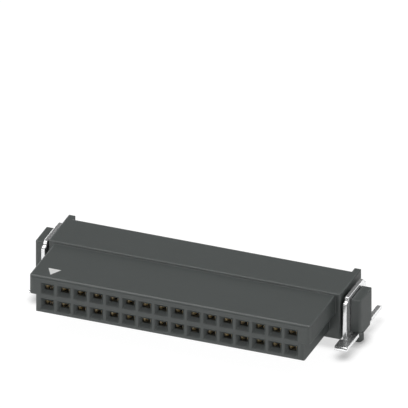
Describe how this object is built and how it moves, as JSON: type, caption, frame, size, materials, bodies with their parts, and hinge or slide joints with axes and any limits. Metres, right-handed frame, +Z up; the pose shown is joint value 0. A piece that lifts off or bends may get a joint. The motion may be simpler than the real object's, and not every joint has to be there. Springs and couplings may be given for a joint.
{
  "type": "smd receptacle connector",
  "caption": "Right-angle two-row female board connector with funnel openings, a keyed mating part, spring contacts, hold-down clips and locating pegs.",
  "frame": {"origin": "on the face of the board, midway between the axes of the two locating pegs", "axes": "+X along the rows, +Y to the rear, away from the mating face, +Z up from the board"},
  "size_m": [0.0254, 0.0109, 0.0046],
  "materials": {
    "housing_plastic": "moulded, fine satin grain",
    "contact_plating": "gold-coloured plating",
    "clip_tin": "bright tin plating"
  },
  "bodies": {
    "root": {"housing": "housing_plastic", "contact_upper_01": "contact_plating", "contact_upper_02": "contact_plating", "contact_upper_03": "contact_plating", "contact_upper_04": "contact_plating", "contact_upper_05": "contact_plating", "contact_upper_06": "contact_plating", "contact_upper_07": "contact_plating", "contact_upper_08": "contact_plating", "contact_upper_09": "contact_plating", "contact_upper_10": "contact_plating", "contact_upper_11": "contact_plating", "contact_upper_12": "contact_plating", "contact_upper_13": "contact_plating", "contact_upper_14": "contact_plating", "contact_upper_15": "contact_plating", "contact_upper_16": "contact_plating", "contact_lower_01": "contact_plating", "contact_lower_02": "contact_plating", "contact_lower_03": "contact_plating", "contact_lower_04": "contact_plating", "contact_lower_05": "contact_plating", "contact_lower_06": "contact_plating", "contact_lower_07": "contact_plating", "contact_lower_08": "contact_plating", "contact_lower_09": "contact_plating", "contact_lower_10": "contact_plating", "contact_lower_11": "contact_plating", "contact_lower_12": "contact_plating", "contact_lower_13": "contact_plating", "contact_lower_14": "contact_plating", "contact_lower_15": "contact_plating", "contact_lower_16": "contact_plating", "hold_down_left": "clip_tin", "hold_down_right": "clip_tin"}
  },
  "joints": []
}
